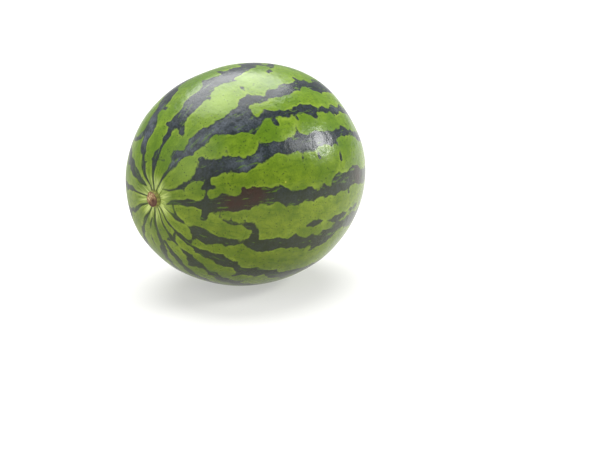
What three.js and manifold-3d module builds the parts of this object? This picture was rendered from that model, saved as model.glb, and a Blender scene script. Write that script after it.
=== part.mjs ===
// A whole watermelon lying on its side, with the dry stub of its stem.
// Millimetres, +Z up. The fruit's long axis lies along X: stem end at -X, blossom end at +X.
import * as THREE from 'three';
import { mergeVertices } from 'three/addons/utils/BufferGeometryUtils.js';
import Module from 'manifold-3d';

const wasm = await Module();
wasm.setup();

// Fruit
const fruitLength = 226;
const fruitDiameter = 195;
const restingSink = 2.1; // how much of the round underside the resting spot takes off
const fruitSides = 72;
const fruitRings = 30;

// Stem end: a level seat under the stub, a shallow hollow around it, and creases that run out of it
const seatRadius = 8.5;
const seatSink = 3.2;
const hollowRadius = 26;
const creaseCount = 12;
const creaseDepth = 0.5;
const creaseReach = 30;

// Blossom end: the small sunken scar where the flower sat
const scarRadius = 6;
const scarDepth = 1.2;

// Stem stub
const stubHeight = 3.6;
const collarDiameter = 14.6;
const coreDiameter = 11.4;
const stubSides = 40;
const stubRidges = 5;
const seatGap = 0.3;

const halfLength = fruitLength / 2;
const halfDiameter = fruitDiameter / 2;

// Colours and finishes
const rindFinish = new THREE.MeshStandardMaterial({ color: 0x6f9337, roughness: 0.36, metalness: 0 });
const stubFinish = new THREE.MeshStandardMaterial({ color: 0x8a6444, roughness: 0.9, metalness: 0 });

// A point on a round section about the fruit's axis, at an angle measured from straight up
function aroundAxis(x, radius, angle) {
  return new THREE.Vector3(x, radius * Math.sin(angle), radius * Math.cos(angle));
}

function smooth(value, from, to) {
  return THREE.MathUtils.smoothstep(value, from, to);
}

// A lathe turned about Y becomes one turned about X, with its profile's height running along +X
function turnedAboutX(profile, sides) {
  const geometry = new THREE.LatheGeometry(profile, sides);
  geometry.rotateZ(-Math.PI / 2);
  return geometry;
}

// Moves every vertex to shape(x, radius, angle)
function reshaped(geometry, shape) {
  const place = geometry.getAttribute('position');
  const point = new THREE.Vector3();
  for (let index = 0; index < place.count; index += 1) {
    point.fromBufferAttribute(place, index);
    const radius = Math.hypot(point.y, point.z);
    const angle = Math.atan2(point.y, point.z);
    const moved = shape(point.x, radius, angle);
    place.setXYZ(index, moved.x, moved.y, moved.z);
  }
  return geometry;
}

function toSolid(geometry) {
  geometry.deleteAttribute('normal');
  geometry.deleteAttribute('uv');
  const merged = mergeVertices(geometry, 1e-4);
  return new wasm.Manifold(new wasm.Mesh({
    numProp: 3,
    vertProperties: new Float32Array(merged.getAttribute('position').array),
    triVerts: new Uint32Array(merged.index.array),
  }));
}

function toGeometry(solid) {
  const mesh = solid.getMesh();
  const geometry = new THREE.BufferGeometry();
  geometry.setAttribute('position', new THREE.BufferAttribute(new Float32Array(mesh.vertProperties), 3));
  geometry.setIndex(new THREE.BufferAttribute(new Uint32Array(mesh.triVerts), 1));
  geometry.computeVertexNormals();
  return geometry;
}

// The rounded body: an ellipse from pole to pole, its rings closer together at the two ends
function fruitProfile() {
  const profile = [];
  for (let ring = 0; ring <= fruitRings; ring += 1) {
    const share = ring / fruitRings;
    const turn = Math.PI * (share - 0.08 * Math.sin(2 * Math.PI * share));
    profile.push(new THREE.Vector2(halfDiameter * Math.sin(turn), -halfLength * Math.cos(turn)));
  }
  profile[0].x = 0;
  profile[fruitRings].x = 0;
  return profile;
}

// Levels the seat, sinks the hollow and the blossom scar, and presses the creases in
function fruitSurface(x, radius, angle) {
  if (x > 0) {
    return aroundAxis(x - scarDepth * (1 - smooth(radius, 0, scarRadius)), radius, angle);
  }
  const seatX = -(halfLength - seatSink);
  const hollowed = THREE.MathUtils.lerp(seatX, x, smooth(radius, seatRadius, hollowRadius));
  const reach = smooth(radius, seatRadius, 1.6 * seatRadius) * (1 - smooth(radius, 1.6 * seatRadius, creaseReach));
  const crease = creaseDepth * reach * (0.5 + 0.5 * Math.cos(creaseCount * angle));
  return aroundAxis(hollowed + crease, radius, angle);
}

// A block whose top face is the level of the resting spot
function groundBlock() {
  const top = restingSink - halfDiameter;
  const block = new THREE.BoxGeometry(fruitLength, fruitDiameter, halfDiameter);
  block.translate(0, 0, top - halfDiameter / 2);
  return block;
}

function makeFruit() {
  const body = toSolid(reshaped(turnedAboutX(fruitProfile(), fruitSides), fruitSurface));
  const rested = body.subtract(toSolid(groundBlock()));
  const fruit = new THREE.Mesh(toGeometry(rested), rindFinish);
  fruit.name = 'fruit';
  return fruit;
}

// The stub's outline from its broken tip down to its foot: core, step, flared collar, underside
function stubProfile() {
  const tipX = 0;
  const core = coreDiameter / 2;
  const collar = collarDiameter / 2;
  return [
    new THREE.Vector2(0, tipX + 0.5),
    new THREE.Vector2(core * 0.45, tipX + 0.35),
    new THREE.Vector2(core * 0.82, tipX),
    new THREE.Vector2(core, tipX + 0.4),
    new THREE.Vector2(core * 1.04, tipX + 1.3),
    new THREE.Vector2(collar * 0.93, tipX + 1.9),
    new THREE.Vector2(collar, tipX + 2.6),
    new THREE.Vector2(collar * 0.98, stubHeight),
    new THREE.Vector2(0, stubHeight),
  ];
}

// Five shallow ridges around the side, and a slanted, uneven break across the tip
function stubSurface(x, radius, angle) {
  const ridge = 1 + 0.035 * Math.cos(stubRidges * angle + 0.6);
  const tipShare = 1 - smooth(x, 0.4, stubHeight * 0.6);
  const slant = 0.35 * Math.cos(angle + 0.9) + 0.18 * Math.cos(3 * angle - 0.4);
  const sunk = tipShare * (radius / coreDiameter) * (0.5 + slant);
  return aroundAxis(x + sunk, radius * ridge, angle);
}

function makeStemStub() {
  const solid = toSolid(reshaped(turnedAboutX(stubProfile(), stubSides), stubSurface));
  const stub = new THREE.Mesh(toGeometry(solid), stubFinish);
  stub.name = 'stem_stub';
  stub.position.x = -(halfLength - seatSink) - seatGap - stubHeight;
  return stub;
}

// The origin is under the middle of the whole part, on the surface that it rests on
const watermelon = new THREE.Group();
watermelon.add(makeFruit(), makeStemStub());
watermelon.updateMatrixWorld(true);
const extent = new THREE.Box3().setFromObject(watermelon, true);
watermelon.position.set(-(extent.min.x + extent.max.x) / 2, -(extent.min.y + extent.max.y) / 2, -extent.min.z);
watermelon.updateMatrixWorld(true);

export default watermelon;
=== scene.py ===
import random
from math import cos, pi, radians, sin

import bmesh
import bpy
import numpy as np
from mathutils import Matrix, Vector, noise


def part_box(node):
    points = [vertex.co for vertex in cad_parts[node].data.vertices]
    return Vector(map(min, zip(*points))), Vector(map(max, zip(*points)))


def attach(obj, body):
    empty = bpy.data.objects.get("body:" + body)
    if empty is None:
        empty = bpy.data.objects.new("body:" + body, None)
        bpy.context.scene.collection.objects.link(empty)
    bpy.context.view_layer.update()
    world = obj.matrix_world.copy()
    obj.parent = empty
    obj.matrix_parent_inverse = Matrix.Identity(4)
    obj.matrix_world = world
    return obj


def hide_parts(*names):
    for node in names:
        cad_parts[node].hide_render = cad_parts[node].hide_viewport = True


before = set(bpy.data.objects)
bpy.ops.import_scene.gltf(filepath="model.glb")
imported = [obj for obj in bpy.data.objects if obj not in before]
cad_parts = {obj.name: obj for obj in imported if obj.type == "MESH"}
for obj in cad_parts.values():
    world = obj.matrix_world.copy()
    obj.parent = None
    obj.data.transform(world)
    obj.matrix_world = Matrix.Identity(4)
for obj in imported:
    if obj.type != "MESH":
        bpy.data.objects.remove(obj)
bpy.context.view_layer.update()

mm = 0.001

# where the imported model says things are
fruitLow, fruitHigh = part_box("fruit")
stubLow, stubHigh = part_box("stem_stub")
halfDiameter = (fruitHigh.y - fruitLow.y) / 2
fruitCentre = Vector(((fruitLow.x + fruitHigh.x) / 2, 0, fruitHigh.z - halfDiameter))

print("stage: frame read")

# the melon's own sizes, in metres
fruit = {
    "length": 0.2258,
    "sides": 420,
    "rings": 230,
    "crowding": 0.07,  # how far the rings gather towards both ends
    "seatRadius": 0.0085,  # level place under the stem stub
    "seatSink": 0.0032,
    "hollowRadius": 0.026,  # the hollow at the stem runs out here
    "hollowMargin": 0.004,
    "scarRadius": 0.006,
    "scarDepth": 0.0012,
    "unevenness": 0.00088,  # height of the slow waves
    "unevenSize": 0.045,  # and their size
    "settle": 0.0008,  # roundness of the resting spot's edge
    "weld": 0.00001,
    "plump": 0.0005,  # even swelling over the plain round
    "swellFrom": 0.004,  # above the floor; the swellings fade out towards the resting spot
    "swellFade": 0.02,
    "creaseDepth": 0.0006,
    "creaseReach": 0.032,  # the creases at the stem end here
    "creaseStart": 0.003,  # width of their start beside the stub
    "creaseFade": 0.018,
    "creaseWidth": 0.0012,
}
# broad swellings and hollows: degrees along, degrees around, height and spread in millimetres
lumps = [
    (118, 18, 2.0, 38), (130, 48, -1.2, 24), (81, -22, -1.0, 17), (48, -40, 0.5, 22),
    (37, -130, 1.2, 26), (30, 150, 0.6, 22), (40, 172, 0.9, 34), (90, 120, 0.8, 40),
    (100, -140, 0.9, 45), (140, -60, -0.8, 35),
]
halfLength = fruit["length"] / 2


# node helpers
def addNode(tree, kind, **settings):
    node = tree.nodes.new(kind)
    for name, value in settings.items():
        setattr(node, name, value)
    return node


def feed(tree, socket, value):
    # a socket gets a link, anything else goes into its own field
    if isinstance(value, bpy.types.NodeSocket):
        tree.links.new(value, socket)
    else:
        socket.default_value = value


def calc(tree, operation, *values):
    node = addNode(tree, "ShaderNodeMath", operation=operation)
    for socket, value in zip(node.inputs, values):
        feed(tree, socket, value)
    return node.outputs[0]


def ramp(tree, value, low, high, lowOut=0.0, highOut=1.0):
    # a soft step between two values
    node = addNode(tree, "ShaderNodeMapRange", interpolation_type="SMOOTHSTEP")
    for name, setting in (("Value", value), ("From Min", low), ("From Max", high),
                          ("To Min", lowOut), ("To Max", highOut)):
        feed(tree, node.inputs[name], setting)
    return node.outputs[0]


def calcVector(tree, operation, first, second=None):
    # the second value is a number when scaling, otherwise a vector
    node = addNode(tree, "ShaderNodeVectorMath", operation=operation)
    tree.links.new(first, node.inputs[0])
    if operation == "SCALE":
        feed(tree, node.inputs["Scale"], second)
    elif second is not None:
        feed(tree, node.inputs[1], second)
    return node.outputs[0]


def joined(tree, x, y, z):
    node = addNode(tree, "ShaderNodeCombineXYZ")
    for socket, value in zip(node.inputs, (x, y, z)):
        tree.links.new(value, socket)
    return node.outputs[0]


def parted(tree, vector):
    node = addNode(tree, "ShaderNodeSeparateXYZ")
    tree.links.new(vector, node.inputs[0])
    return node.outputs


def grow(name, tree, values):
    # runs a tree with its named values and keeps the result as a plain mesh
    holder = bpy.data.objects.new(name + "Maker", bpy.data.meshes.new(name + "Maker"))
    bpy.context.scene.collection.objects.link(holder)
    modifier = holder.modifiers.new("maker", "NODES")
    modifier.node_group = tree
    sockets = {item.name: item for item in tree.interface.items_tree if item.item_type == "SOCKET"}
    for label, value in values.items():
        modifier[sockets[label].identifier] = value
    depsgraph = bpy.context.evaluated_depsgraph_get()
    mesh = bpy.data.meshes.new_from_object(holder.evaluated_get(depsgraph))
    holder.modifiers.clear()
    bpy.data.objects.remove(holder)
    mesh.name = name
    piece = bpy.data.objects.new(name, mesh)
    bpy.context.scene.collection.objects.link(piece)
    return piece


# fruit body
def fruitTree(material):
    tree = bpy.data.node_groups.new("melonBody", "GeometryNodeTree")
    tree.interface.new_socket("Geometry", in_out="OUTPUT", socket_type="NodeSocketGeometry")
    kinds = {"Rings": "NodeSocketInt", "Sides": "NodeSocketInt", "Centre": "NodeSocketVector"}
    for label in ("Rings", "Sides", "Centre", "Half Length", "Half Diameter", "Seat Radius",
                  "Seat Sink", "Hollow Radius", "Scar Radius", "Scar Depth", "Unevenness",
                  "Uneven Size", "Resting Height"):
        tree.interface.new_socket(label, in_out="INPUT", socket_type=kinds.get(label, "NodeSocketFloat"))
    given = tree.nodes.new("NodeGroupInput").outputs
    grid = addNode(tree, "GeometryNodeMeshGrid")
    tree.links.new(given["Rings"], grid.inputs["Vertices X"])
    tree.links.new(given["Sides"], grid.inputs["Vertices Y"])
    along, around = parted(tree, grid.outputs["UV Map"])[:2]

    # rings crowd together a little at both ends
    wave = calc(tree, "SINE", calc(tree, "MULTIPLY", along, 2 * pi))
    crowd = calc(tree, "MULTIPLY", wave, fruit["crowding"])
    turn = calc(tree, "MULTIPLY", calc(tree, "SUBTRACT", along, crowd), pi)
    stemX = calc(tree, "MULTIPLY", given["Half Length"], -1.0)
    plainX = calc(tree, "MULTIPLY", calc(tree, "COSINE", turn), stemX)
    radius = calc(tree, "MULTIPLY", calc(tree, "SINE", turn), given["Half Diameter"])

    # stem end: level seat, then a shallow hollow that runs out into the round
    atBlossom = calc(tree, "GREATER_THAN", plainX, 0.0)
    rise = ramp(tree, radius, given["Seat Radius"], given["Hollow Radius"])
    keep = calc(tree, "MAXIMUM", rise, atBlossom)
    seatX = calc(tree, "SUBTRACT", given["Seat Sink"], given["Half Length"])
    hollowed = calc(tree, "MULTIPLY_ADD", calc(tree, "SUBTRACT", plainX, seatX), keep, seatX)

    # blossom end: a small dip
    dip = ramp(tree, radius, 0.0, given["Scar Radius"], 1.0, 0.0)
    dip = calc(tree, "MULTIPLY", dip, given["Scar Depth"])
    bodyX = calc(tree, "SUBTRACT", hollowed, calc(tree, "MULTIPLY", dip, atBlossom))
    angle = calc(tree, "MULTIPLY", around, 2 * pi)
    body = joined(tree, bodyX, calc(tree, "MULTIPLY", calc(tree, "SINE", angle), radius),
                  calc(tree, "MULTIPLY", calc(tree, "COSINE", angle), radius))

    # slow natural unevenness along the outward direction
    waves = addNode(tree, "ShaderNodeTexNoise", noise_dimensions="3D")
    waves.inputs["Scale"].default_value = 1.0
    waves.inputs["Detail"].default_value = 1.0
    stretched = calcVector(tree, "SCALE", body, calc(tree, "DIVIDE", 1.0, given["Uneven Size"]))
    tree.links.new(stretched, waves.inputs["Vector"])
    swell = calc(tree, "MULTIPLY", calc(tree, "SUBTRACT", waves.outputs[0], 0.5), given["Unevenness"])
    push = calcVector(tree, "SCALE", calcVector(tree, "NORMALIZE", body), swell)
    placed = calcVector(tree, "ADD", calcVector(tree, "ADD", body, push), given["Centre"])

    # the underside settles on its resting spot
    x, y, z = parted(tree, placed)
    rested = calc(tree, "SMOOTH_MAX", z, given["Resting Height"], fruit["settle"])
    move = addNode(tree, "GeometryNodeSetPosition")
    tree.links.new(grid.outputs["Mesh"], move.inputs["Geometry"])
    tree.links.new(joined(tree, x, y, rested), move.inputs["Position"])
    weld = addNode(tree, "GeometryNodeMergeByDistance")
    weld.inputs["Distance"].default_value = fruit["weld"]
    tree.links.new(move.outputs[0], weld.inputs["Geometry"])
    setMaterial = addNode(tree, "GeometryNodeSetMaterial")
    setMaterial.inputs["Material"].default_value = material
    tree.links.new(weld.outputs[0], setMaterial.inputs["Geometry"])
    tree.links.new(setMaterial.outputs[0], tree.nodes.new("NodeGroupOutput").inputs[0])
    return tree


# stripes: each is a line from the stem end, as (degrees from the stem pole, degrees around from
# straight up, half width in millimetres)
stripes = {
    "crown": [
        (4.4, -5, 0.6), (7, -4, 0.8), (10, -3, 1.0), (15, -2.5, 1.3), (20, -3, 3.4), (25, 0, 2.6),
        (30, 1.2, 2.6), (35, 2.6, 2.5), (38, 4, 5.0), (42, 4.5, 6.8), (50, 5, 6.4), (56, 6, 7.6),
        (60, 5, 6.4), (66, 3.5, 8.4), (72, 5.5, 8.6), (80, 4, 8.2), (86, 4, 6.8), (92, 0.5, 8.2),
        (98, -1, 6.0), (108, -3, 5.5), (120, -2, 6.4), (134, -4, 5.6), (150, -3, 3.6), (165, -2, 1.6),
        (176, 0, 0.5),
    ],
    "shoulder": [
        (4.4, 17, 0.5), (7.5, 22, 0.7), (10, 26.5, 0.8), (15, 28, 1.5), (20, 29, 2.3), (25, 27, 4.7),
        (30, 30.5, 4.4), (35, 32.5, 5.2), (40, 32.5, 5.8), (45, 33.5, 5.6), (50, 35, 6.3),
        (55, 36.3, 9.3), (59, 37.5, 10.6),
    ],
    "shoulderUpper": [
        (59, 33, 6.0), (62, 30.7, 3.4), (66, 29.7, 4.6), (70, 29.6, 4.0), (75, 32.6, 2.3),
        (80, 31.4, 4.8), (87, 31.6, 5.6), (93, 31.2, 3.0), (97, 30, 4.4), (101, 29.6, 5.2),
        (108, 32, 7.0), (114, 29.5, 7.4), (122, 27, 6.0), (134, 25, 6.6), (146, 22, 3.6),
        (160, 18, 1.6), (174, 10, 0.5),
    ],
    "shoulderLower": [
        (59, 42, 6.0), (62, 43, 4.6), (66, 42.2, 3.6), (72, 41.8, 3.6), (78, 44.5, 3.3),
        (84, 45.3, 3.1), (90, 45.2, 5.4), (94, 46.6, 3.9), (99, 47, 2.3), (104, 47.8, 3.5),
        (110, 47.8, 3.6), (118, 46.5, 3.4), (130, 48, 4.4), (144, 46, 3.4), (160, 46, 1.6),
        (174, 50, 0.5),
    ],
    "belly": [
        (8, 42, 0.3), (10, 52, 0.5), (12.5, 60, 0.6), (16, 63, 0.9), (20, 63.5, 1.9), (23, 61.5, 0.9),
        (26, 61, 0.9), (29, 58.5, 2.8), (32, 57, 5.4), (36, 57, 7.8), (41, 59, 6.2), (46, 60, 6.2),
        (50, 63.3, 5.4), (54, 62.6, 4.6), (59, 61, 6.6), (64, 60, 4.2), (69, 60.5, 5.3),
        (75, 61.8, 7.2), (80, 61.5, 8.4), (86, 62.5, 7.6), (92, 62.2, 5.9), (98, 62.5, 5.6),
        (103, 61, 4.0), (110, 61, 3.1), (117, 62.5, 2.0), (126, 64, 3.6), (138, 66, 4.4),
        (152, 66, 2.6), (168, 70, 0.9),
    ],
    "flank": [
        (8.5, 98, 0.3), (10, 93, 1.0), (12, 88, 1.7), (15, 85.5, 2.3), (18, 86, 1.9), (22, 86, 2.3),
        (27, 86.6, 3.4), (31, 87.5, 5.4), (35, 88.5, 6.3), (40, 87.3, 5.4), (45, 86.3, 6.6),
        (50, 84.3, 7.6), (55, 84.6, 6.3), (60, 85, 6.4), (68, 87, 7.4), (76, 88, 5.6), (84, 87.5, 4.3),
        (90, 88.2, 6.0), (96, 85.5, 7.2), (101, 87, 5.2), (108, 84.8, 7.2), (114, 86.2, 6.8),
        (122, 88, 5.0), (134, 89, 5.2), (148, 92, 3.4), (164, 92, 1.4), (175, 96, 0.4),
    ],
    "flankFork": [
        (38, 101, 0.3), (42, 102.4, 0.8), (46, 102.6, 2.0), (50, 103.8, 3.2), (53, 107.5, 3.3),
        (53, 112, 3.0), (50.5, 115.5, 2.0), (46, 117.3, 2.0),
    ],
    "lowFlank": [
        (7, 112, 0.2), (10, 113, 0.4), (12.5, 114, 0.9), (15, 115.3, 2.0), (20, 117, 1.1),
        (24, 119.5, 2.2), (28, 122.5, 5.2), (31, 122.5, 5.0), (36, 121.5, 4.9), (40, 119.7, 3.5),
        (44, 118.6, 2.6), (49, 117, 2.4), (56, 117, 4.6), (64, 115, 5.6), (72, 113, 6.8),
        (80, 114, 5.6), (90, 113, 7.2), (100, 110, 5.0), (110, 111, 6.6), (124, 113, 5.4),
        (140, 114, 4.6), (156, 116, 2.4), (172, 116, 0.6),
    ],
    "underFlank": [
        (4.5, 132, 0.5), (8, 135, 0.6), (12, 138, 0.8), (18, 139, 1.3), (24, 139.3, 1.4),
        (30, 139.6, 2.2), (35, 140.3, 3.2), (39, 138.2, 3.6), (45, 137, 5.0), (52, 138, 4.4),
        (60, 140, 6.2), (70, 138, 5.2), (80, 141, 7.4), (92, 139, 6.0), (104, 141, 6.8),
        (118, 139, 5.2), (134, 142, 4.8), (150, 140, 2.8), (168, 142, 0.9),
    ],
    "underNear": [
        (4.5, 152, 0.5), (10, 153, 0.7), (16, 154, 0.8), (22, 154, 1.8), (27, 152.5, 1.0),
        (33, 151.5, 2.1), (37, 154.5, 3.6), (42, 153.5, 2.0), (50, 155, 3.2), (58, 158, 4.6),
        (68, 160, 5.6), (78, 158, 3.2), (88, 160, 2.0),
    ],
    "under": [
        (4.5, 181, 0.7), (9, 180, 1.0), (13, 179, 1.5), (18, 178, 1.6), (24, 180, 3.0), (30, 183, 2.0),
        (38, 184, 3.0), (48, 186, 5.2), (60, 185, 6.0), (74, 188, 6.6), (90, 186, 5.4), (106, 187, 7.2),
        (122, 184, 5.2), (140, 186, 4.4), (158, 184, 2.2), (174, 180, 0.5),
    ],
    "underTwin": [
        (22, 171, 0.4), (27, 169.5, 2.0), (34, 170, 2.6), (42, 171.3, 2.8), (50, 170, 3.6),
        (62, 171, 3.0), (70, 168, 1.4),
    ],
    "underBack": [
        (4.5, 206, 0.5), (7, 208, 0.7), (9.5, 209, 1.2), (13, 212, 1.7), (18, 213, 1.4), (24, 213, 2.2),
        (34, 211, 3.2), (46, 213, 5.6), (60, 212, 5.2), (76, 216, 7.2), (92, 213, 6.0), (110, 215, 7.0),
        (128, 213, 5.0), (146, 216, 3.4), (166, 216, 1.2),
    ],
    "backLow": [
        (4.5, 238, 0.6), (7, 240, 0.8), (10, 244, 1.0), (14, 243, 1.5), (19, 242, 2.2), (26, 245, 3.0),
        (36, 243, 4.4), (50, 246, 6.0), (64, 243, 5.2), (80, 247, 7.2), (96, 245, 5.8), (112, 246, 6.8),
        (130, 243, 4.8), (148, 242, 3.0), (166, 244, 1.2),
    ],
    "back": [
        (4.5, 277, 0.6), (7, 276, 0.7), (10, 276, 0.8), (16, 275.5, 0.9), (22, 274, 2.2),
        (30, 272, 3.4), (40, 274, 5.4), (54, 272, 6.6), (68, 276, 5.0), (84, 274, 7.0), (100, 277, 5.6),
        (116, 275, 6.4), (134, 274, 4.4), (152, 276, 2.6), (168, 272, 1.0),
    ],
    "backHigh": [
        (8.4, 315, 0.9), (10, 313, 2.2), (13, 308, 3.2), (20, 304, 4.2), (27, 301, 4.6), (33, 299, 4.6),
        (42, 300, 5.6), (54, 303, 6.4), (68, 302, 5.2), (82, 305, 7.4), (98, 303, 6.0), (114, 305, 6.2),
        (132, 302, 4.8), (150, 304, 2.6), (168, 306, 1.0),
    ],
    "crownBack": [
        (4.5, 338, 0.6), (7, 335, 0.8), (10, 332, 1.3), (15, 329, 2.2), (20, 330, 2.4),
        (27, 331.2, 2.4), (33, 333.5, 4.0), (38, 335, 7.0), (44, 336, 5.0), (50, 337, 6.0),
        (57, 336.4, 7.6), (64, 334.6, 8.0), (74, 335, 6.8), (86, 332, 6.0), (100, 335, 7.4),
        (116, 332, 5.4), (134, 334, 5.0), (152, 332, 2.8), (168, 334, 1.0),
    ],
}

# short dark points and thin veins that leave a stripe, in the same three numbers
spurs = [
    [(38, -1, 1.8), (38.3, -5.5, 0.3)],
    [(37.5, 9, 2.0), (36.8, 12.5, 1.2), (35.8, 16.5, 0.3)],
    [(19.8, 2, 0.7), (20, 8, 0.45), (20.8, 14, 0.2)],
    [(66, -1, 3.4), (66.8, -6.5, 0.8)],
    [(56.4, 10, 2.6), (57.2, 14.6, 0.6)],
    [(100, 6, 1.6), (95.5, 10.5, 1.5), (91.5, 14.5, 1.7), (89.5, 16.5, 0.4)],
    [(112, 0, 1.0), (106, 2, 1.8), (100, 6, 1.6)],
    [(24, 24, 2.2), (23.8, 18.5, 0.7)],
    [(26, 24, 1.4), (27.2, 21, 0.3)],
    [(70, 27.5, 1.4), (70.3, 23.5, 0.8), (71.4, 17, 0.25)],
    [(100.5, 28, 1.8), (99, 24.4, 0.5)],
    [(107.5, 35, 1.8), (108, 38, 0.4)],
    [(71, 44, 1.2), (71.3, 48, 0.35)],
    [(82, 47, 1.6), (82.4, 49.6, 0.4)],
    [(92.3, 48, 3.0), (92.6, 52.2, 0.5)],
    [(105.5, 49, 2.2), (106.2, 51.8, 0.7)],
    [(59.4, 44, 3.2), (59.5, 48.8, 0.3)],
    [(34.6, 52, 3.2), (34.2, 48.2, 1.2)],
    [(45.2, 55, 1.4), (45.6, 51.4, 0.3)],
    [(60, 57, 1.8), (59.8, 53.8, 0.3)],
    [(71.6, 58, 1.4), (71.4, 54.2, 0.3)],
    [(79.7, 58, 1.7), (79.9, 53.4, 0.25)],
    [(76, 65, 1.8), (76.9, 69, 0.3)],
    [(86, 66, 1.0), (86.3, 71, 0.25)],
    [(20, 65, 0.9), (20, 70.5, 0.25)],
    [(22.5, 62, 0.9), (21.3, 58.5, 0.3)],
    [(33.2, 62, 1.8), (32.9, 67, 1.2), (32.2, 71, 1.0), (31, 74.5, 0.6), (30.6, 77, 0.9), (30.4, 81, 2.6)],
    [(29, 72, 0.5), (32, 72, 0.9), (34.6, 72, 0.5)],
    [(99, 64.5, 1.8), (100.2, 69.5, 0.8), (99.8, 74, 0.8), (97.5, 76.5, 0.45), (96.3, 81, 1.6)],
    [(47.3, 81, 3.2), (47.6, 76, 0.7)],
    [(30.5, 92, 3.0), (29, 97, 1.0), (28.5, 102, 0.3)],
    [(36.4, 93, 1.7), (36.6, 97.6, 0.3)],
    [(33.8, 92, 1.4), (33.6, 95.5, 0.3)],
    [(90, 89, 2.4), (90, 92.8, 0.6)],
    [(103, 88, 2.0), (103.4, 91.8, 0.4)],
    [(47.4, 103, 1.0), (47.7, 98.4, 0.3)],
    [(25.5, 118, 1.2), (27.4, 126, 3.0), (28, 132, 2.2), (27.4, 139, 1.4)],
    [(13, 88, 0.8), (13, 95, 0.5), (13.8, 103, 0.45), (15.2, 111, 0.7)],
    [(19.5, 140, 1.0), (20, 146, 0.9), (22.3, 151.5, 0.6)],
    [(21, 154, 1.2), (21, 160, 1.2), (21, 164, 0.4)],
    [(25, 153, 0.9), (25.3, 160, 0.3)],
    [(37.8, 157, 2.4), (38.3, 163, 0.4)],
    [(33.4, 150, 1.2), (33.2, 147.6, 0.3)],
    [(34.3, 139, 1.2), (34.3, 144.3, 0.3)],
    [(35.4, 325, 1.4), (36.6, 317, 2.2), (39.5, 310, 2.6), (41, 307, 1.0)],
    [(19, 332, 1.2), (19, 339, 0.4)],
    [(36.5, 340, 1.6), (36.4, 343.5, 0.4)],
    [(47, 341, 1.6), (46.6, 344, 0.4)],
    [(20, 357, 2.2), (19.6, 350.5, 0.7)],
    [(10, 190, 0.4), (15, 196, 0.7), (22, 197, 0.8), (27, 195, 0.4)],
]

# thin stripes between the wide ones of the far side
stripes.update({
    "backThread": [
        (34, 259, 0.3), (44, 258, 1.2), (56, 260, 2.6), (70, 257, 1.6), (84, 260, 3.0), (98, 258, 1.4),
        (108, 260, 0.4),
    ],
    "backHighFork": [
        (58, 306, 1.6), (66, 311, 1.4), (76, 315, 2.4), (90, 318, 1.6), (102, 317, 2.6),
        (118, 319, 1.4), (130, 316, 0.4),
    ],
    "backLowFork": [
        (72, 240, 2.0), (80, 233, 1.4), (90, 230, 2.2), (104, 228, 1.2), (116, 230, 0.4),
    ],
    "underThread": [
        (64, 199, 0.4), (76, 201, 1.6), (90, 199, 2.6), (102, 201, 1.4), (112, 199, 0.3),
    ],
    "lowThread": [
        (78, 104, 0.3), (86, 103, 1.3), (96, 105, 2.2), (108, 103, 1.4), (120, 105, 0.3),
    ],
    "backPool": [
        (92, 288, 0.6), (98, 290, 2.4), (104, 289, 0.8),
    ],
})

stripeStyle = {
    "step": 2.0,  # degrees between points along a smoothed stripe
    "thinnest": 0.15,  # half width in millimetres that no smoothed stripe goes below
    "reach": 0.03,  # how far from a stripe its distance still matters, in metres
    "far": 0.05,  # the distance given to places beyond that
}
# purple brown tint in the flank stripe, and the pale patch that lay on the soil
purplePatches = [
    (40, 89, 0.7, 9), (47, 84, 1.0, 12), (54, 83, 0.7, 10), (113, 86, 0.7, 10),
]
groundPatches = [
    (104, 196, 1.2, 34), (88, 206, 0.7, 24), (118, 188, 0.6, 22),
]


def onRind(along, around):
    # a place on the smooth body, from degrees along and around
    turn, angle = radians(along), radians(around)
    reach = halfDiameter * sin(turn)
    return fruitCentre + Vector((-halfLength * cos(turn), -reach * sin(angle), reach * cos(angle)))


def smoothLine(points, step):
    # a curve through every point, with even steps along the fruit
    rows = np.array(points, float)
    padded = np.vstack([2 * rows[0] - rows[1], rows, 2 * rows[-1] - rows[-2]])
    result = []
    for index in range(1, len(padded) - 2):
        p0, p1, p2, p3 = padded[index - 1:index + 3]
        reach = abs(p2[0] - p1[0]) + abs(p2[1] - p1[1]) * sin(radians(p1[0]))
        pieces = max(1, int(round(reach / step)))
        for k in range(pieces):
            t = k / pieces
            result.append(0.5 * ((2 * p1) + (p2 - p0) * t + (2 * p0 - 5 * p1 + 4 * p2 - p3) * t ** 2
                                 + (3 * p1 - p0 - 3 * p2 + p3) * t ** 3))
    result.append(rows[-1])
    result = np.array(result)
    result[:, 2] = np.maximum(result[:, 2], stripeStyle["thinnest"])
    return result


sprouts = {
    "seed": 21,
    "stripes": ("crown", "lowFlank", "underFlank", "underNear", "under", "underBack", "backLow", "back",
                "backHigh", "crownBack"),
    "each": 11,
    "from": 56,  # degrees along; nearer the stem the points are listed one by one
    "to": 156,
    "reach": (2.2, 6.5),  # shortest and longest, in millimetres past the edge
    "waist": (0.7, 2.0),
    "lean": 2.5,  # degrees
}


def sproutPoints():
    # short dark points that leave the stripes of the far side, on either side
    dice = random.Random(sprouts["seed"])
    grown = []
    for name in sprouts["stripes"]:
        rows = smoothLine(stripes[name], stripeStyle["step"])
        for count in range(sprouts["each"]):
            along = dice.uniform(sprouts["from"], sprouts["to"])
            around, width = rows[np.argmin(np.abs(rows[:, 0] - along))][1:]
            side = dice.choice((-1, 1))
            degree = halfDiameter / mm * sin(radians(along)) * pi / 180
            reach = side * (width + dice.uniform(*sprouts["reach"])) / degree
            lean = dice.uniform(-sprouts["lean"], sprouts["lean"])
            waist = (along + lean * 0.5, around + reach * 0.7, dice.uniform(*sprouts["waist"]))
            grown.append([(along, around, width * 0.6), waist, (along + lean, around + reach, 0.3)])
    return grown


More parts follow.
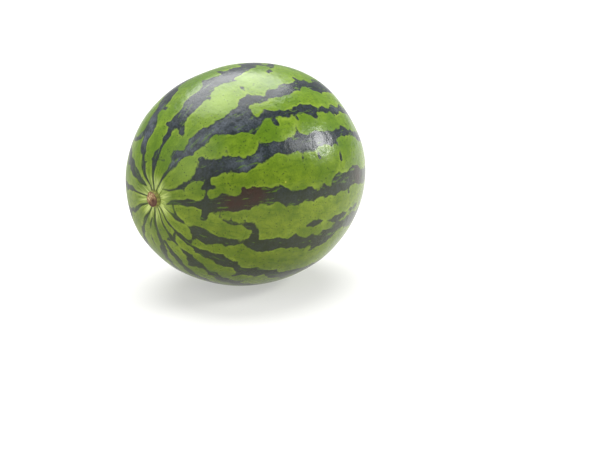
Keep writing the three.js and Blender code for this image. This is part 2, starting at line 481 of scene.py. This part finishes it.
def stripeDistance(points, lines):
    # shortest distance from each point to the edge of the nearest stripe, below zero inside one
    best = np.full(len(points), stripeStyle["far"])
    for line in lines:
        ends = np.array([onRind(along, around) for along, around, width in line])
        widths = line[:, 2] * mm
        for start, end, w0, w1 in zip(ends[:-1], ends[1:], widths[:-1], widths[1:]):
            near = np.abs(points - (start + end) / 2).max(axis=1) < stripeStyle["reach"]
            local = points[near]
            along = end - start
            share = np.clip((local - start) @ along / max(along @ along, 1e-12), 0, 1)
            gap = np.linalg.norm(local - (start + share[:, None] * along), axis=1)
            best[near] = np.minimum(best[near], gap - (w0 + share * (w1 - w0)))
    return best


def addPointValues(mesh, name, values):
    layer = mesh.attributes.new(name, "FLOAT", "POINT")
    layer.data.foreach_set("value", np.asarray(values, np.float32))


def meshPoints(mesh):
    flat = np.empty(len(mesh.vertices) * 3, np.float32)
    mesh.vertices.foreach_get("co", flat)
    return flat.reshape(-1, 3).astype(float)


def setMeshPoints(mesh, points):
    mesh.vertices.foreach_set("co", points.astype(np.float32).ravel())
    mesh.update()


# materials
def newMaterial(name):
    material = bpy.data.materials.new(name)
    material.use_nodes = True
    tree = material.node_tree
    tree.nodes.clear()
    output = tree.nodes.new("ShaderNodeOutputMaterial")
    surface = tree.nodes.new("ShaderNodeBsdfPrincipled")
    tree.links.new(surface.outputs[0], output.inputs["Surface"])
    return material, tree, surface


def mixColours(tree, share, first, second, blend="MIX"):
    node = addNode(tree, "ShaderNodeMix", data_type="RGBA", blend_type=blend)
    feed(tree, node.inputs["Factor"], share)
    feed(tree, node.inputs["A"], first)
    feed(tree, node.inputs["B"], second)
    return node.outputs["Result"]


def noiseAt(tree, vector, size, detail=2.0, roughness=0.5):
    # fine noise whose features are about size metres across
    node = addNode(tree, "ShaderNodeTexNoise", noise_dimensions="3D")
    tree.links.new(vector, node.inputs["Vector"])
    node.inputs["Scale"].default_value = 1 / size
    node.inputs["Detail"].default_value = detail
    node.inputs["Roughness"].default_value = roughness
    return node.outputs[0]


def cellsAt(tree, vector, size):
    # round cells, with the distance from each one's middle and a colour of its own
    node = addNode(tree, "ShaderNodeTexVoronoi", voronoi_dimensions="3D", feature="F1")
    tree.links.new(vector, node.inputs["Vector"])
    node.inputs["Scale"].default_value = 1 / size
    return node.outputs["Distance"], node.outputs["Color"]


def fieldOf(tree, name):
    return addNode(tree, "ShaderNodeAttribute", attribute_name=name).outputs["Fac"]


# the skin's colours and gloss
rind = {
    "light": (0.096, 0.185, 0.005, 1),
    "lightWarmReflect": (0.152, 0.196, 0.006, 1),
    "lightWarm": (0.172, 0.246, 0.013, 1),
    "lightDeep": (0.048, 0.102, 0.002, 1),
    "lightRim": (0.260, 0.350, 0.040, 1),
    "lightPaleLit": (0.225, 0.330, 0.040, 1),
    "dark": (0.004, 0.009, 0.006, 1),
    "darkBlue": (0.011, 0.017, 0.025, 1),
    "darkWarmReflect": (0.027, 0.034, 0.006, 1),
    "bloomAndSheen": (0.072, 0.085, 0.101, 1),
    "purple": (0.036, 0.015, 0.008, 1),
    "ridge": (0.52, 0.61, 0.19, 1),
    "speck": (0.42, 0.44, 0.05, 1),
    "groundSpot": (0.60, 0.52, 0.20, 1),
    "scar": (0.225, 0.165, 0.085, 1),
    "scarDark": (0.075, 0.048, 0.026, 1),
    "roughness": 0.245,
    "waxDull": 0.08,  # added where there is wax
    "scarRoughness": 0.8,
    "specular": 0.27,
    "edge": 0.72,  # softness of a stripe's edge, in millimetres
    "ragged": 1.3,  # its fine unevenness, in millimetres
    "raggedEnds": 0.45,  # the least share of it that is left at the ends
    "waxGrain": (0.5, 0.65),  # strength of the grain in the wax, and the wax without it
    "purpleCloud": (0.4, 0.50),
    "ridgeDepth": (0.75, 0.25),
    "bumpHeight": 0.0007,
    "bumpStrength": 0.5,
    "fineBumps": 0.11,  # beside the broad ones
    "waxAndSheenAll": 0.16,  # wax bloom and painted sheen outside the patches below
    "groundFrom": 0.25,  # the ground spot starts where its patches are stronger than this
    "groundMost": 0.85,
}
# patterns on the skin: feature size in metres, detail, roughness, and where the pattern starts and is full
patterns = {
    "drift": (0.024, 2.0, 0.5, 0.34, 0.66),
    "mottle": (0.0052, 3.0, 0.6, 0.35, 0.68),
    "freckle": (0.0012, 2.0, 0.6, 0.52, 0.68),
    "veins": (0.030, 3.0, 0.6, 0.54, 0.66),
    "flecks": (0.045, 2.0, 0.5, 0.70, 0.76),
    "cloud": (0.0090, 3.0, 0.6, 0.34, 0.66),
    "grain": (0.0017, 3.0, 0.65, 0.36, 0.64),
    "islands": (0.045, 3.0, 0.6, 0.58, 0.68),
    "ridges": (0.12, 2.0, 0.5, 0.40, 0.60),
    "streaks": (0.07, 2.0, 0.5, 0.46, 0.62),
    "crumb": (0.0010, 3.0, 0.65, 0.38, 0.62),
}
# lobes along a stripe's edge: distance between them in metres, level, and height in millimetres
edgeLobes = {
    "large": (0.0120, 0.47, 6.4),
    "small": (0.0048, 0.45, 2.0),
}
# round marks: distance between them and their radius in metres, and the share of places that have one
roundMarks = {
    "dots": (0.0065, 0.0010, 0.5),
    "pores": (0.0031, 0.0008, 0.55),
    "specks": (0.0230, 0.0011, 0.5),
}
# soft changes: where each starts and ends, and its value at the start and at the end
bands = {
    "calm": (0.014, 0.050, 0.08, 1.0),  # size of the lobes, by metres from the ends
    "low": (0.075, 0.145, 1.0, 0.0),  # painted warm reflected light low down, by height in metres
    "rim": (0.5, 3.2, 0.28, 0.0),  # yellow rim, by millimetres outside a stripe
    "rimDrift": (0.2, 0.9, 0.2, 1.0),
    "inside": (-2.6, -0.3, 1.0, 0.35),  # wax bloom and painted sheen, by millimetres inside a stripe
    "nearStem": (0.008, 0.024, 1.0, 0.0),  # pale ridges, by metres from the stem
    "shadeStem": (0.010, 0.045, 0.45, 0.0),
    "dullStem": (0.030, 0.085, 0.22, 0.0),
    "scar": (0.0072, 0.0086, 1.0, 0.0),
    "scarMiddle": (0.0032, 0.0052, 0.7, 0.0),
    "paleRing": (0.0080, 0.0150, 0.35, 0.0),
}
# how quickly the lengthwise patterns change from stem to blossom
pace = {
    "veins": 1.8,
    "flecks": 11.0,
    "islands": 4.0,
    "ridges": 6.0,
}
# how strongly each mark covers what is under it
cover = {
    "plain": 0.58,
    "mottle": 0.45,
    "freckle": 0.44,
    "veins": 0.34,
    "dots": 0.55,
    "pores": 0.55,
    "flecks": 0.55,
    "specks": 0.6,
    "specksOnDark": 0.8,
    "islands": 0.50,
    "warmReflectOnDark": 0.75,
}
# grey waxy bloom on the dark stripes, partly painted sheen: degrees along, degrees around, strength, spread
# in millimetres
waxAndSheenPatches = [
    (24, 28, 1.1, 12), (33, 31, 0.8, 12), (41, 33, 0.6, 12), (51, 36, 0.9, 12), (58, 37, 0.6, 9),
    (66, 42, 0.4, 8), (38, 4, 0.15, 13), (47, 5, 0.3, 11), (40, -25, 1.5, 15), (28, -22, 0.8, 11),
    (45, 60, 0.3, 7), (51, 63, 0.9, 9), (57, 62, 0.7, 9), (64, 60, 0.4, 8), (112, 48, 0.5, 12),
    (70, -60, 0.7, 30), (95, 150, 0.5, 26), (60, 215, 0.6, 28), (110, 250, 0.7, 32), (130, 20, 0.6, 24),
]
# paler light green, partly painted light where the top is lit brightest
paleLitPatches = [
    (58, 19, 0.70, 16), (26, 50, 0.30, 12), (76, 17, 0.35, 12), (100, 140, 0.5, 22), (60, -120, 0.5, 22),
]


def patternAt(tree, vector, name, lowOut=0.0, highOut=1.0):
    size, detail, roughness, start, full = patterns[name]
    return ramp(tree, noiseAt(tree, vector, size, detail, roughness), start, full, lowOut, highOut)


def lobesAt(tree, vector, name):
    size, level, tall = edgeLobes[name]
    gap = cellsAt(tree, vector, size)[0]
    return calc(tree, "MULTIPLY", calc(tree, "SUBTRACT", level, gap), tall)


def spotsAt(tree, vector, name):
    # round spots in only some of the cells
    size, radius, share = roundMarks[name]
    gap, cellColour = cellsAt(tree, vector, size)
    chosen = addNode(tree, "ShaderNodeSeparateColor")
    tree.links.new(cellColour, chosen.inputs[0])
    picked = calc(tree, "LESS_THAN", chosen.outputs[0], share)
    spot = ramp(tree, gap, radius / size * 0.45, radius / size, 1.0, 0.0)
    return calc(tree, "MULTIPLY", spot, picked)


def marked(tree, colour, mask, strength, markColour):
    return mixColours(tree, calc(tree, "MULTIPLY", mask, strength), colour, markColour)


def rayPlace(tree, place, slow):
    # coordinates whose features run lengthwise, from stem to blossom; a larger slow makes them shorter
    centred = calcVector(tree, "SUBTRACT", place, fruitCentre)
    ray = calcVector(tree, "NORMALIZE", calcVector(tree, "MULTIPLY", centred, (0, 1, 1)))
    return calcVector(tree, "ADD", ray, calcVector(tree, "SCALE", centred, slow))


def rindMaterial():
    material, tree, surface = newMaterial("rind")
    place = addNode(tree, "ShaderNodeTexCoord").outputs["Object"]
    field = calc(tree, "MULTIPLY", fieldOf(tree, "stripeField"), 1 / mm)
    fromStem = fieldOf(tree, "fromStem")
    fromBlossom = fieldOf(tree, "fromBlossom")

    # light green swells into the stripe in rounded lobes, dark runs out between them in points
    ragged = calc(tree, "SUBTRACT", noiseAt(tree, place, 0.0016), 0.5)
    ragged = calc(tree, "MULTIPLY", ragged, rind["ragged"])
    calm = ramp(tree, calc(tree, "MINIMUM", fromStem, fromBlossom), *bands["calm"])
    lobes = calc(tree, "ADD", lobesAt(tree, place, "large"), lobesAt(tree, place, "small"))
    ragged = calc(tree, "MULTIPLY", ragged, calc(tree, "MAXIMUM", calm, rind["raggedEnds"]))
    scallop = calc(tree, "ADD", calc(tree, "MULTIPLY", lobes, calm), ragged)
    edge = calc(tree, "ADD", field, scallop)
    isLight = ramp(tree, edge, -rind["edge"], rind["edge"])

    # light green: painted warm reflection low down, slow drift, mottling, lengthwise veins, paler patches
    # partly painted top light
    low = ramp(tree, parted(tree, place)[2], *bands["low"])
    drift = patternAt(tree, place, "drift")
    light = mixColours(tree, drift, rind["lightDeep"], rind["lightWarm"])
    plain = mixColours(tree, low, rind["light"], rind["lightWarmReflect"])
    light = mixColours(tree, cover["plain"], light, plain)
    light = marked(tree, light, patternAt(tree, place, "mottle"), cover["mottle"], rind["lightDeep"])
    light = marked(tree, light, patternAt(tree, place, "freckle"), cover["freckle"], rind["lightDeep"])
    veins = patternAt(tree, rayPlace(tree, place, pace["veins"]), "veins")
    light = marked(tree, light, veins, cover["veins"], rind["lightDeep"])
    # paler patches, partly painted top light
    light = mixColours(tree, fieldOf(tree, "paleLitField"), light, rind["lightPaleLit"])

    # a yellower rim along the stripes, then dark dots, pores and flecks, and yellow specks
    rim = ramp(tree, edge, *bands["rim"])
    light = marked(tree, light, rim, ramp(tree, drift, *bands["rimDrift"]), rind["lightRim"])
    light = marked(tree, light, spotsAt(tree, place, "dots"), cover["dots"], rind["dark"])
    light = marked(tree, light, spotsAt(tree, place, "pores"), cover["pores"], rind["dark"])
    flecks = patternAt(tree, rayPlace(tree, place, pace["flecks"]), "flecks")
    light = marked(tree, light, flecks, cover["flecks"], rind["dark"])
    specks = spotsAt(tree, place, "specks")
    light = marked(tree, light, specks, cover["specks"], rind["speck"])

    # dark stripe: nearly black green, blue grey waxy bloom with painted sheen in patches, faint light
    # mottles
    inside = ramp(tree, edge, *bands["inside"])
    cloud = patternAt(tree, place, "cloud", 0.2)
    grain = patternAt(tree, place, "grain")
    waxAndSheen = calc(tree, "MULTIPLY", calc(tree, "MULTIPLY", cloud, inside), fieldOf(tree, "waxAndSheenField"))
    waxAndSheen = calc(tree, "MULTIPLY", waxAndSheen, calc(tree, "MULTIPLY_ADD", grain, *rind["waxGrain"]))
    dark = mixColours(tree, grain, rind["dark"], rind["darkBlue"])
    # painted warm reflected light on the dark stripes low down
    dark = marked(tree, dark, low, cover["warmReflectOnDark"], rind["darkWarmReflect"])
    # grey blue bloom colour, partly a painted sheen
    dark = mixColours(tree, calc(tree, "MINIMUM", waxAndSheen, 1.0), dark, rind["bloomAndSheen"])
    clouded = calc(tree, "MULTIPLY_ADD", cloud, *rind["purpleCloud"])
    dark = marked(tree, dark, fieldOf(tree, "purpleField"), clouded, rind["purple"])
    islands = patternAt(tree, rayPlace(tree, place, pace["islands"]), "islands")
    dark = marked(tree, dark, islands, cover["islands"], rind["light"])
    dark = marked(tree, dark, specks, cover["specksOnDark"], rind["speck"])
    colour = mixColours(tree, isLight, dark, light)

    # pale narrow ridges close around the stem
    rays = rayPlace(tree, place, pace["ridges"])
    ridges = calc(tree, "MULTIPLY_ADD", patternAt(tree, rays, "ridges"), *rind["ridgeDepth"])
    nearStem = calc(tree, "MULTIPLY", ramp(tree, fromStem, *bands["nearStem"]), isLight)
    colour = marked(tree, colour, nearStem, ridges, rind["ridge"])
    shadeStem = ramp(tree, fromStem, *bands["shadeStem"])
    colour = marked(tree, colour, patternAt(tree, rays, "streaks"), shadeStem, rind["lightDeep"])

    # where it lay on the soil
    colour = mixColours(tree, fieldOf(tree, "groundSpot"), colour, rind["groundSpot"])

    # corky blossom scar, darker in the middle, with a pale ring around it
    ripple = calc(tree, "MULTIPLY_ADD", noiseAt(tree, place, 0.0022, 4.0, 0.65), 0.006, fromBlossom)
    scar = ramp(tree, ripple, *bands["scar"])
    colour = mixColours(tree, ramp(tree, ripple, *bands["paleRing"]), colour, rind["ridge"])
    cork = mixColours(tree, patternAt(tree, place, "crumb"), rind["scarDark"], rind["scar"])
    cork = mixColours(tree, ramp(tree, ripple, *bands["scarMiddle"]), cork, rind["scarDark"])
    colour = mixColours(tree, scar, colour, cork)
    tree.links.new(colour, surface.inputs["Base Color"])

    # wax, the skin around the stem and the scar are duller
    rough = calc(tree, "MULTIPLY_ADD", waxAndSheen, rind["waxDull"], rind["roughness"])
    rough = calc(tree, "ADD", rough, ramp(tree, fromStem, *bands["dullStem"]))
    rough = calc(tree, "MAXIMUM", rough, calc(tree, "MULTIPLY", scar, rind["scarRoughness"]))
    tree.links.new(rough, surface.inputs["Roughness"])
    surface.inputs["Specular IOR Level"].default_value = rind["specular"]
    bump = addNode(tree, "ShaderNodeBump")
    bump.inputs["Strength"].default_value = rind["bumpStrength"]
    bump.inputs["Distance"].default_value = rind["bumpHeight"]
    waves = noiseAt(tree, place, 0.0060)
    height = calc(tree, "MULTIPLY_ADD", noiseAt(tree, place, 0.0014), rind["fineBumps"], waves)
    tree.links.new(height, bump.inputs["Height"])
    tree.links.new(bump.outputs[0], surface.inputs["Normal"])
    return material


def blobs(points, spots):
    # soft round patches: degrees along, degrees around, strength, spread in millimetres
    total = np.zeros(len(points))
    for along, around, strength, spread in spots:
        gap = np.linalg.norm(points - np.array(onRind(along, around)), axis=1)
        total += strength * np.exp(-(gap / (spread * mm)) ** 2)
    return total


def makeFruit():
    material = rindMaterial()
    tree = fruitTree(material)
    values = {
        "Rings": fruit["rings"],
        "Sides": fruit["sides"],
        "Centre": tuple(fruitCentre),
        "Half Length": halfLength,
        "Half Diameter": halfDiameter,
        "Seat Radius": fruit["seatRadius"],
        "Seat Sink": fruit["seatSink"],
        "Hollow Radius": fruit["hollowRadius"],
        "Scar Radius": fruit["scarRadius"],
        "Scar Depth": fruit["scarDepth"],
        "Unevenness": fruit["unevenness"],
        "Uneven Size": fruit["unevenSize"],
        "Resting Height": 0.0,
    }
    piece = grow("melonRind", tree, values)
    mesh = piece.data
    points = meshPoints(mesh)
    drawn = list(stripes.values()) + spurs + sproutPoints()
    lines = [smoothLine(line, stripeStyle["step"]) for line in drawn]
    offset = points - np.array(fruitCentre)
    fromAxis = np.hypot(offset[:, 1], offset[:, 2])
    fromStem = np.where(offset[:, 0] < 0, fromAxis, 1.0)
    # stripes are measured on the plain round, as it was before the hollow at the stem
    plain = points.copy()
    hollow = fromStem < fruit["hollowRadius"] + fruit["hollowMargin"]
    plain[hollow, 0] = fruitCentre.x - halfLength * np.sqrt(1 - (fromStem[hollow] / halfDiameter) ** 2)
    field = stripeDistance(plain, lines)
    addPointValues(mesh, "stripeField", field)
    addPointValues(mesh, "fromStem", fromStem)
    addPointValues(mesh, "fromBlossom", np.where(offset[:, 0] > 0, fromAxis, 1.0))
    addPointValues(mesh, "purpleField", np.clip(blobs(points, purplePatches), 0, 1))
    addPointValues(mesh, "waxAndSheenField", np.clip(rind["waxAndSheenAll"] + blobs(points, waxAndSheenPatches), 0, 1))
    addPointValues(mesh, "paleLitField", np.clip(blobs(points, paleLitPatches), 0, 1))
    soil = blobs(points, groundPatches) - rind["groundFrom"]
    addPointValues(mesh, "groundSpot", np.clip(soil, 0, rind["groundMost"]))

    # swell the lumps, press the stripes in as creases near the stem
    swell = blobs(points, lumps) * mm + fruit["plump"]
    lift = np.clip((points[:, 2] - fruit["swellFrom"]) / fruit["swellFade"], 0, 1)
    reach = np.clip((fromStem - fruit["seatRadius"]) / fruit["creaseStart"], 0, 1)
    reach *= np.clip((fruit["creaseReach"] - fromStem) / fruit["creaseFade"], 0, 1)
    crease = fruit["creaseDepth"] * reach * np.clip(0.5 - field / fruit["creaseWidth"], 0, 1)
    outward = offset / np.array([halfLength, halfDiameter, halfDiameter]) ** 2
    outward /= np.linalg.norm(outward, axis=1)[:, None]
    setMeshPoints(mesh, points + outward * (swell * lift - crease)[:, None])
    mesh.shade_smooth()
    print("fruit:", len(mesh.vertices), "points", len(mesh.polygons), "faces")
    return piece


# stem stub
stub = {
    "sides": 168,
    "faceRows": 26,
    "wallRows": 18,
    "faceRadius": 0.0063,
    "outline": ((2, 0.045, 0.0), (3, 0.03, 0.8), (5, 0.02, 2.0)),  # waves around it: how many, height, turn
    "bumps": ((0.55, 0.55), (1.4, 0.28), (3.2, 0.12)),  # roughness of the break: fineness and height
    "ledge": 0.55,  # millimetres that the pale side stands above the torn one
    "pit": 0.75,  # depth of the hollow, in millimetres
    "pitPlace": (-1.6, -0.2),
    "fibres": 13,
    "fibreDepth": 0.16,
    "rim": (0.86, 0.14, 0.5),  # the break rounds off: start, width, drop in millimetres
    "rimShade": (0.80, 0.20, 1.1),  # and darkens in painted shade
    "highest": 0.06,  # millimetres that it keeps below its space at the tip
    "clearance": 0.08,  # around the foot
    "underGap": 0.02,  # and underneath
    "flare": (0.22, 0.2, 0.78, 1.7),  # widening to the foot: quick share, its reach, slow share, its power
    "barkTone": -0.3,
    "roughness": 0.72,
    "specular": 0.3,
    "seed": 4,
    "bark": (0.235, 0.245, 0.052, 1),
    "barkShade": (0.150, 0.160, 0.036, 1),
    "cork": (0.215, 0.122, 0.058, 1),
    "corkPaleLit": (0.560, 0.430, 0.215, 1),
    "corkDarkShaded": (0.085, 0.034, 0.022, 1),
}


def stubMaterial():
    material, tree, surface = newMaterial("stem")
    place = addNode(tree, "ShaderNodeTexCoord").outputs["Object"]
    onFace = fieldOf(tree, "onFace")
    shade = fieldOf(tree, "corkLitAndShaded")
    fine = calc(tree, "SUBTRACT", noiseAt(tree, place, 0.0011, 3.0, 0.6), 0.5)
    # painted light on the raised ledge, painted shade in the pit and at the rounded rim, with fine random
    # cork grain
    tone = calc(tree, "MULTIPLY_ADD", fine, 1.3, shade)
    cork = mixColours(tree, ramp(tree, tone, -0.75, -0.10, 1.0, 0.0), stub["cork"], stub["corkDarkShaded"])
    cork = mixColours(tree, ramp(tree, tone, 0.18, 0.72), cork, stub["corkPaleLit"])
    bark = mixColours(tree, ramp(tree, fieldOf(tree, "fibre"), 0.25, 0.80), stub["barkShade"], stub["bark"])
    bark = mixColours(tree, ramp(tree, fine, 0.02, 0.16, 0.0, 0.5), bark, stub["cork"])
    tree.links.new(mixColours(tree, onFace, bark, cork), surface.inputs["Base Color"])
    surface.inputs["Roughness"].default_value = stub["roughness"]
    surface.inputs["Specular IOR Level"].default_value = stub["specular"]
    return material


def makeStub():
    # a polar sheet: out over the broken face, round the rim, down the bark, closed underneath
    material = stubMaterial()
    centre = (stubLow + stubHigh) / 2
    foot = (stubHigh.y - stubLow.y) / 2 / mm - stub["clearance"]
    bottom = (stubHigh.x - stubLow.x) / mm - stub["underGap"]
    faceRadius = stub["faceRadius"] / mm
    pitY, pitZ = stub["pitPlace"]
    rimStart, rimWidth, rimDrop = stub["rim"]
    shadeStart, shadeWidth, shadeDepth = stub["rimShade"]
    quick, quickReach, slow, power = stub["flare"]
    sides = stub["sides"]
    grainOffset = Vector((stub["seed"], 0.3, 0.7))
    rows = []
    for k in range(1, stub["faceRows"] + 1):
        rows.append(("face", k / stub["faceRows"]))
    for k in range(1, stub["wallRows"] + 1):
        rows.append(("wall", k / stub["wallRows"]))
    places, onFace, corkLitAndShaded, fibre = [], [], [], []

    def faceHeight(y, z):
        # millimetres below the tip, and a tone; one side stands up in a ledge painted pale as if lit, the
        # other is torn away, and the pit is painted dark as shade
        ledge = 0.5 + 0.5 * np.tanh((0.55 * y + 0.84 * z + 0.5) / 1.3)
        rough = 0
        for layer, (fineness, tall) in enumerate(stub["bumps"]):
            rough += noise.noise(Vector((y, z, 3 * layer)) * fineness + grainOffset) * tall
        pit = np.exp(-((y - pitY) ** 2 + (z - pitZ) ** 2) / 2.2)
        depth = 0.95 - stub["ledge"] * ledge + rough * 0.75 + stub["pit"] * pit
        return depth, ledge - 0.62 + rough * 1.1 - 0.7 * pit

    for kind, share in rows:
        for side in range(sides):
            angle = 2 * pi * side / sides
            outline = 1
            for count, tall, turn in stub["outline"]:
                outline += tall * cos(count * angle + turn)
            strand = 0.5 + 0.5 * cos(stub["fibres"] * angle + 1.4 * sin(2 * angle))
            if kind == "face":
                radius = faceRadius * share * outline
                y, z = -radius * sin(angle), radius * cos(angle)
                depth, tone = faceHeight(y, z)
                depth += rimDrop * max(0, (share - rimStart) / rimWidth) ** 2
                tone -= shadeDepth * max(0, (share - shadeStart) / shadeWidth)
                places.append((y, z, max(depth, stub["highest"])))
                onFace.append(1.0 if share < 0.97 else 0.4)
                corkLitAndShaded.append(tone)
                fibre.append(strand)
            else:
                start = faceRadius * outline
                y, z = -start * sin(angle), start * cos(angle)
                top = max(faceHeight(y, z)[0] + rimDrop, stub["highest"])
                flare = quick * min(share / quickReach, 1) + slow * share ** power
                groove = stub["fibreDepth"] * (strand - 0.5) * sin(pi * share) ** 0.5
                radius = start + (foot - start) * flare + groove
                depth = top + (bottom - top) * share
                places.append((-radius * sin(angle), radius * cos(angle), depth))
                onFace.append(0.0)
                corkLitAndShaded.append(stub["barkTone"])
                fibre.append(strand + 0.5 * noise.noise(Vector((angle * 4, share * 2, 9))))
    middle, tone = faceHeight(0, 0)
    places.append((0, 0, middle))
    places.append((0, 0, bottom))
    onFace += [1.0, 0.0]
    corkLitAndShaded += [tone, stub["barkTone"]]
    fibre += [0.5, 0.5]
    points = [(stubLow.x + depth * mm, centre.y + y * mm, centre.z + z * mm) for y, z, depth in places]
    tip, under, last = len(points) - 2, len(points) - 1, (len(rows) - 1) * sides
    faces = []
    for side in range(sides):
        after = (side + 1) % sides
        faces.append((tip, side, after))
        faces.append((under, last + after, last + side))
        for row in range(len(rows) - 1):
            here = row * sides
            faces.append((here + side, here + sides + side, here + sides + after, here + after))
    mesh = bpy.data.meshes.new("stemStub")
    mesh.from_pydata(points, [], faces)
    build = bmesh.new()
    build.from_mesh(mesh)
    bmesh.ops.recalc_face_normals(build, faces=build.faces)
    build.to_mesh(mesh)
    build.free()
    addPointValues(mesh, "onFace", onFace)
    addPointValues(mesh, "corkLitAndShaded", corkLitAndShaded)
    addPointValues(mesh, "fibre", fibre)
    mesh.shade_smooth()
    mesh.materials.append(material)
    piece = bpy.data.objects.new("stemStub", mesh)
    bpy.context.scene.collection.objects.link(piece)
    print("stub:", len(points), "points", len(faces), "faces")
    return piece


fruitPiece = makeFruit()
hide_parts("fruit")
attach(fruitPiece, "root")
print("stage: fruit made")

stubPiece = makeStub()
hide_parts("stem_stub")
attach(stubPiece, "root")
print("stage: stem stub made")

# floor, light and camera
# sizes and distances in metres, angles in degrees, light power in watts
studio = {
    "floorSize": 30.0,
    "floorColour": (0.37, 0.37, 0.36, 1),
    "floorRoughness": 0.9,
    "floorGlow": 0.44,  # the floor is a sheet of white acrylic with a soft light under it
    "glowColour": (1, 1, 0.985, 1),
    "worldColour": (1, 1, 1, 1),
    "worldStrength": 0.48,
    "backdropStrength": 1.0,
    "softSun": {"azimuth": 141, "elevation": 65, "spread": 62, "strength": 5.5},
    "sideLight": {"azimuth": 46, "elevation": 24, "distance": 1.2, "size": 0.36, "power": 8.4},
    "tailLight": {"azimuth": 24, "elevation": 33, "distance": 1.2, "size": 0.30, "power": 2.6},
    "fillLight": {"azimuth": -92, "elevation": 34, "distance": 1.4, "size": 1.3, "power": 9.2},
}

view = {
    "azimuth": -45.66,
    "elevation": 14.35,
    "distance": 1.3,
    "aimAzimuth": -47.78,
    "aimElevation": 16.33,
    "lens": 88.026,  # millimetres
    "sensor": 36,
    "clip": 50,
}


def awayFrom(azimuth, elevation):
    # direction from the melon, azimuth 0 towards -Y and 90 towards +X
    flat = cos(radians(elevation))
    return Vector((sin(radians(azimuth)) * flat, -cos(radians(azimuth)) * flat, sin(radians(elevation))))


def makeFloor():
    material, tree, surface = newMaterial("floor")
    surface.inputs["Base Color"].default_value = studio["floorColour"]
    surface.inputs["Emission Color"].default_value = studio["glowColour"]
    surface.inputs["Emission Strength"].default_value = studio["floorGlow"]
    surface.inputs["Roughness"].default_value = studio["floorRoughness"]
    mesh = bpy.data.meshes.new("floor")
    half = studio["floorSize"] / 2
    corners = [(-half, -half, 0), (half, -half, 0), (half, half, 0), (-half, half, 0)]
    mesh.from_pydata(corners, [], [(0, 1, 2, 3)])
    mesh.materials.append(material)
    floor = bpy.data.objects.new("floor", mesh)
    bpy.context.scene.collection.objects.link(floor)


def makeWorld():
    world = bpy.data.worlds.new("studio")
    world.use_nodes = True
    tree = world.node_tree
    soft = tree.nodes["Background"]
    soft.inputs["Color"].default_value = studio["worldColour"]
    soft.inputs["Strength"].default_value = studio["worldStrength"]
    backdrop = addNode(tree, "ShaderNodeBackground")
    backdrop.inputs["Color"].default_value = studio["worldColour"]
    backdrop.inputs["Strength"].default_value = studio["backdropStrength"]
    # seen directly the backdrop is as white as the floor
    seen = addNode(tree, "ShaderNodeLightPath").outputs["Is Camera Ray"]
    both = addNode(tree, "ShaderNodeMixShader")
    tree.links.new(seen, both.inputs["Fac"])
    tree.links.new(soft.outputs[0], both.inputs[1])
    tree.links.new(backdrop.outputs[0], both.inputs[2])
    tree.links.new(both.outputs[0], tree.nodes["World Output"].inputs["Surface"])
    bpy.context.scene.world = world


def placeLamp(data, setup):
    # turns a lamp to the melon, and sets it at its distance unless it is a sun
    lamp = bpy.data.objects.new(data.name, data)
    bpy.context.scene.collection.objects.link(lamp)
    direction = awayFrom(setup["azimuth"], setup["elevation"])
    lamp.rotation_euler = direction.to_track_quat("Z", "Y").to_euler()
    if "distance" in setup:
        lamp.location = fruitCentre + direction * setup["distance"]


def makeSun(name):
    data = bpy.data.lights.new(name, "SUN")
    data.energy = studio[name]["strength"]
    data.angle = radians(studio[name]["spread"])
    placeLamp(data, studio[name])


def makeLight(name):
    data = bpy.data.lights.new(name, "AREA")
    data.shape = "DISK"
    data.size = studio[name]["size"]
    data.energy = studio[name]["power"]
    placeLamp(data, studio[name])


def makeCamera():
    data = bpy.data.cameras.new("camera")
    data.sensor_fit = "HORIZONTAL"
    data.sensor_width = view["sensor"]
    data.lens = view["lens"]
    data.clip_end = view["clip"]
    camera = bpy.data.objects.new("camera", data)
    bpy.context.scene.collection.objects.link(camera)
    camera.location = fruitCentre + awayFrom(view["azimuth"], view["elevation"]) * view["distance"]
    camera.rotation_euler = (radians(90 - view["aimElevation"]), 0, radians(view["aimAzimuth"]))
    bpy.context.scene.camera = camera


makeFloor()
makeWorld()
makeSun("softSun")
for lightName in ("sideLight", "tailLight", "fillLight"):
    makeLight(lightName)
makeCamera()
bpy.context.scene.view_settings.view_transform = "Standard"
print("stage: studio ready")
